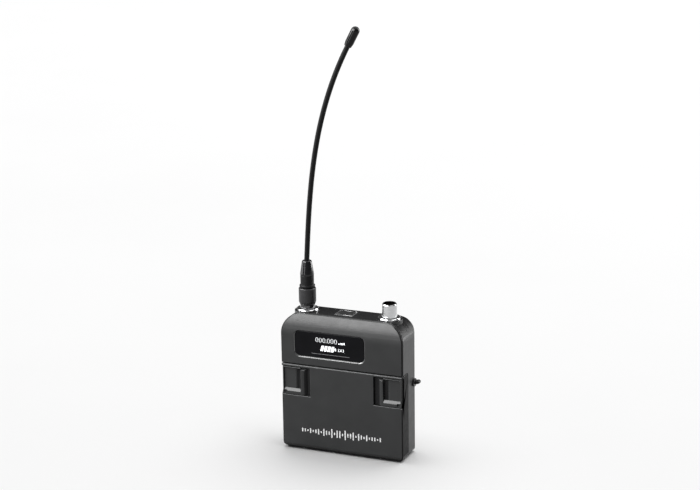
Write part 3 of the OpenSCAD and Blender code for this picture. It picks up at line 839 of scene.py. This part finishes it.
def mark_height(i):
    """Height of one bar: a swell along the row with a quick ripple on it."""
    t = i / (MARK_BARS - 1)
    swell = 0.35 + 0.65 * math.sin(math.pi * t) ** 2
    ripple = 0.55 + 0.45 * math.sin(2.4 * i + 0.6)
    return 0.7 + 4.6 * swell * ripple


def make_mark():
    """A plain row of level bars where the door carries a printed mark."""
    ink = printed("mark_ink", (0.28, 0.28, 0.28))
    wide = 0.62
    left = MARK_X - MARK_PITCH * (MARK_BARS - 1) / 2
    bars = [rounded_box(left + i * MARK_PITCH, MARK_Z, wide, mark_height(i), wide / 2 - 0.01)
            for i in range(MARK_BARS)]
    add_piece(plates_mesh("door_mark", bars, FRONT_Y - 0.015), "door", ink)


# ---- top: keys, ports and antenna -----------------------------------------------------

def make_buttons():
    rounded_copy("mute_button", "mute_button_cap", "mute_button",
                 [(0.4, 4, lambda e: middle_mm(e).z > CASE_H - 0.4 and e.calc_length() > 0.8 * MM)])
    rounded_copy("button_frame", "mute_button_frame", "case",
                 [(0.1, 4, lambda e: middle_mm(e).z > CASE_H)])
    # Thin light strips along the back and front of the mute button are painted highlights, laid on as
    # thin plates.
    thick, corner_r = 0.34, 0.1
    lines = [rounded_box(BUTTON_X, BUTTON_BACK_Y, 8.6, thick, corner_r, 2),
             rounded_box(BUTTON_X + 2.1, BUTTON_FRONT_Y, 4.4, thick, corner_r, 2)]
    mesh = plates_mesh("button_highlight_strips", lines, -BUTTON_FRAME_Z - 0.015)
    mesh.transform(Matrix.Rotation(-math.pi / 2, 4, "X"))
    add_piece(mesh, "case", printed("button_painted_highlight", (0.36, 0.36, 0.36)))
    for name in ("set_button", "up_button", "down_button"):
        rounded_copy(name, name + "_key", name, [(0.3, 4, lambda e: middle_mm(e).y < -5)])


def make_ports():
    bezel = fillet([(3.75, 0.35), (3.75, 0), (5.6, 0), (5.6, 0.5), (5.3, 0.9), (4.9, 0.9),
                    (3.75, 0.35)], [0, 0.03, 0.05, 0.2, 0.15, 0.2, 0])
    for x, node in ((-PORT_X, "antenna_bezel"), (PORT_X, "connector_bezel")):
        add_piece(lathe(node + "_ring", bezel, at(x, PORT_Y, CASE_H + 0.2)), "case", "chrome", (node,))
    bore_r, foot_r, foot_z, top_z = 3.1, 3.4, -11, 8.1
    barrel = [(bore_r, foot_z), (foot_r, foot_z), (foot_r, 1.2), (BARREL_R, 1.2)]
    barrel += fillet([(BARREL_R, 6.2), (BARREL_R, top_z - 0.5), (BARREL_R - 0.4, top_z), (bore_r, top_z),
                      (bore_r, foot_z)], [0, 0.25, 0.15, 0.05, 0])
    add_piece(lathe("connector_barrel_turned", barrel, at(PORT_X, PORT_Y, CASE_H)),
              "case", "satin_chrome", ("connector_barrel",))


def whip_point(s):
    """Point of the whip's curve at height s above its foot."""
    return (-PORT_X + WHIP_LEAN * s + WHIP_CURL * s ** 3, PORT_Y, WHIP_FOOT_Z + s)


def make_antenna():
    nut = [(0, 5.6), (2.45, 5.6)]
    nut += fillet([(2.45, 0), (3.8, 0), (NUT_R, 1.5), (NUT_R, NUT_H - 0.3), (NUT_R - 0.25, NUT_H),
                   (0, NUT_H)], [0, 0.15, 0.3, 0.15, 0.15, 0])
    sleeve = fillet([(0, 0), (3.3, 0), (3.3, 0.4), (3.9, 0.5), (3.9, 1.5), (3.4, 1.7), (3.4, 6.3),
                     (3.2, 6.5), (0, 6.5)], [0, 0.05, 0.1, 0.2, 0.25, 0.15, 0.1, 0.1, 0])
    cone = fillet([(0, 6.45), (3.45, 6.45), (3.45, 7.4), (2.4, BOOT_H), (0, BOOT_H)],
                  [0, 0.15, 0.6, 0.7, 0])
    nut_at, boot_at = at(-PORT_X, PORT_Y, NUT_Z), at(-PORT_X, PORT_Y, BOOT_Z)
    add_piece(lathe("antenna_nut_turned", nut, nut_at), "antenna", "nut_black", ("antenna_nut",))
    add_piece(lathe("antenna_boot_sleeve", sleeve, boot_at), "antenna", "boot_rubber", ("antenna_boot",))
    add_piece(lathe("antenna_boot_cone", cone, boot_at), "antenna", "boot_gloss")

    line = [whip_point(WHIP_H * i / 160) for i in range(161)]
    whip = tube("antenna_whip_moulded", line, WHIP_R, 32, False)
    add_piece(whip, "antenna", "whip_rubber", ("antenna_whip",))

    slope = WHIP_LEAN + 3 * WHIP_CURL * WHIP_H ** 2
    base = at(*whip_point(WHIP_H)) @ Matrix.Rotation(math.atan(slope), 4, "Y")
    tip = fillet([(0, 0.02), (1.5, 0.02), (1.85, 0.42), (TIP_R, 2.22), (TIP_R, TIP_H)],
                 [0, 0.1, 0.3, 1.5, 0])
    dome = [math.radians(d) for d in range(9, 90, 9)]
    tip += [(TIP_R * math.cos(a), TIP_H + TIP_R * math.sin(a)) for a in dome] + [(0, TIP_H + TIP_R)]
    add_piece(lathe("antenna_tip_cap", tip, base, 64), "antenna", "tip_gloss", ("antenna_tip",))


# ---- belt clip -------------------------------------------------------------------------

CLIP_START = (30.4, PIVOT_Y, PIVOT_Z)
CLIP_CORNERS = [(34.45, PIVOT_Y, PIVOT_Z), (34.2, 9.8, PIVOT_Z - 0.4), (30.3, 11.2, PIVOT_Z - 1.9),
                (29.4, 11.9, 28), (27.6, 12.3, 19), (24.6, 10.8, 9), (22, 10.55, 6.6)]
CLIP_BENDS = [1.2, 1.6, 2, 6, 20, 3, 3]
CLIP_MIDDLE = (0, 10.55, 6.6)


def make_clip():
    """Wire that runs in from both pivots, down the back and across near the bottom."""
    route = [CLIP_START, *CLIP_CORNERS, CLIP_MIDDLE]
    half = [CLIP_START, (31.4, PIVOT_Y, PIVOT_Z)]
    for i, radius in enumerate(CLIP_BENDS):
        half += bend(route[i], route[i + 1], route[i + 2], radius, 10)
    half += [(x, CLIP_MIDDLE[1], CLIP_MIDDLE[2]) for x in (16, 11, 5)]
    line = half + [(-x, y, z) for x, y, z in reversed(half)]
    add_piece(tube("belt_clip_wire", line, WIRE_R, 24), "clip", "clip_wire", ("belt_clip",))


# ---- springs and cells --------------------------------------------------------------------

def coil(x0, x1, y, z, r0, r1, turns):
    """Points of a helix about X with most of a turn flat at each end."""
    out = []
    flat_turn, per_turn = 0.8, 20
    steps = int(turns * per_turn)
    for i in range(steps + 1):
        t = i / steps
        lift = min(max((t * turns - flat_turn) / (turns - 2 * flat_turn), 0), 1)
        a = 2 * math.pi * t * turns
        r = r0 + (r1 - r0) * lift
        x = x0 + (x1 - x0) * lift
        out.append((x, y + r * math.cos(a), z + r * math.sin(a)))
    return out


def make_latch_springs():
    wire_r, turns = 0.16, 6.5
    for side, sign in (("left", -1), ("right", 1)):
        line = coil(sign * (SPRING_X0 + 0.2), sign * (SPRING_X1 - 0.2), SPRING_Y, SPRING_Z,
                    SPRING_R, SPRING_R, turns)
        mesh = tube(f"latch_spring_{side}_coil", line, wire_r, 8)
        piece = add_piece(mesh, "door", "spring_plate", (f"latch_spring_{side}",))
        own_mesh(piece)


def make_contact_springs():
    """A tapering coil at the end of each cell; the lower one stands for the CAD node that holds both."""
    wide_r, narrow_r, wire_r, turns = 3.6, 1.7, 0.28, 3.6
    for sign, z, name, nodes in ((-1, LOWER_CELL_Z, "lower", ("contact_springs",)),
                                 (1, UPPER_CELL_Z, "upper", ())):
        line = coil(sign * (CONTACT_X - 0.5), sign * (CELL_L / 2 + 0.3), CELL_Y, z,
                    wide_r, narrow_r, turns)
        add_piece(tube(f"contact_coil_{name}", line, wire_r, 10), "case", "spring_plate", nodes)


def make_cells():
    half = CELL_L / 2
    rim_r, shoulder, button_r = CELL_R - 0.35, half - 1, 2.7
    outline = fillet([(0, -half + 0.25), (4.2, -half + 0.25), (4.6, -half), (rim_r, -half),
                      (CELL_R, -half + 0.6), (CELL_R, shoulder - 0.5), (rim_r, shoulder), (3.4, shoulder),
                      (button_r, shoulder + 0.1), (button_r, half), (0, half)],
                     [0, 0.1, 0.1, 0.25, 0.3, 0.3, 0.2, 0.1, 0.1, 0.35, 0])
    for node, z, turn in (("cell_lower", LOWER_CELL_Z, 0), ("cell_upper", UPPER_CELL_Z, math.pi)):
        mesh = lathe(node + "_jacket", outline, Matrix.Rotation(math.pi / 2, 4, "Y"))
        place = at(0, CELL_Y, z) @ Matrix.Rotation(turn, 4, "Z")
        add_piece(mesh, "case", "cell_jacket", (node,), place=place)


make_case()
make_door()
make_latches()
make_display()
make_mark()
make_buttons()
make_ports()
make_antenna()
make_clip()
make_latch_springs()
make_contact_springs()
make_cells()

# ---- stage and light ---------------------------------------------------------------------


def make_floor():
    """Large pale floor, just under the case."""
    bm = bmesh.new()
    bmesh.ops.create_grid(bm, x_segments=8, y_segments=8, size=6)
    mesh = bpy.data.meshes.new("floor")
    bm.to_mesh(mesh)
    bm.free()
    floor = bpy.data.objects.new("floor", mesh)
    floor.location.z = -0.0002
    bpy.context.collection.objects.link(floor)
    mesh.materials.append(floor_finish())
    return floor


def area_light(name, azimuth, elevation, distance, width, height, power, spare=None):
    """Soft box aimed at the case, with azimuth 0 in front and 90 on the right. It doesn't light spare."""
    data = bpy.data.lights.new(name, "AREA")
    data.shape = "RECTANGLE"
    data.size, data.size_y = width, height
    data.energy = power
    a, e = math.radians(azimuth), math.radians(elevation)
    target = mm(0, 0, 60)
    towards = Vector((math.sin(a) * math.cos(e), -math.cos(a) * math.cos(e), math.sin(e)))
    place = target + towards * distance
    light = bpy.data.objects.new(name, data)
    bpy.context.collection.objects.link(light)
    light.location = place
    light.rotation_euler = (target - place).to_track_quat("-Z", "Y").to_euler()
    light.visible_camera = False
    if spare:
        lit = bpy.data.collections.new(name + "_lit")
        lit.objects.link(spare)
        light.light_linking.receiver_collection = lit
        lit.collection_objects[0].light_linking.link_state = "EXCLUDE"
    return light


def make_light(floor):
    """Soft white wash from straight above, and four boxes that light only the object."""
    world = bpy.data.worlds.new("studio")
    world.use_nodes = True
    world.node_tree.nodes["Background"].inputs["Color"].default_value = (0.9, 0.9, 0.9, 1)
    world.node_tree.nodes["Background"].inputs["Strength"].default_value = 0.1
    bpy.context.scene.world = world
    wash = area_light("overhead", 180, 68, 3.9, 7.0, 6.0, 285)
    wash.rotation_euler = (0, 0, 0)
    area_light("key_front", -45, 37, 1.1, 1.5, 0.76, 74, floor)
    area_light("strip_left", -22, 8, 0.8, 0.1, 0.4, 1.0, floor)
    area_light("fill_left", -72, 14, 0.45, 0.2, 0.3, 0.9, floor)
    area_light("rim_right", 138, 18, 1.0, 0.3, 0.9, 15.5, floor)
    bpy.context.scene.view_settings.view_transform = "Standard"


make_light(make_floor())
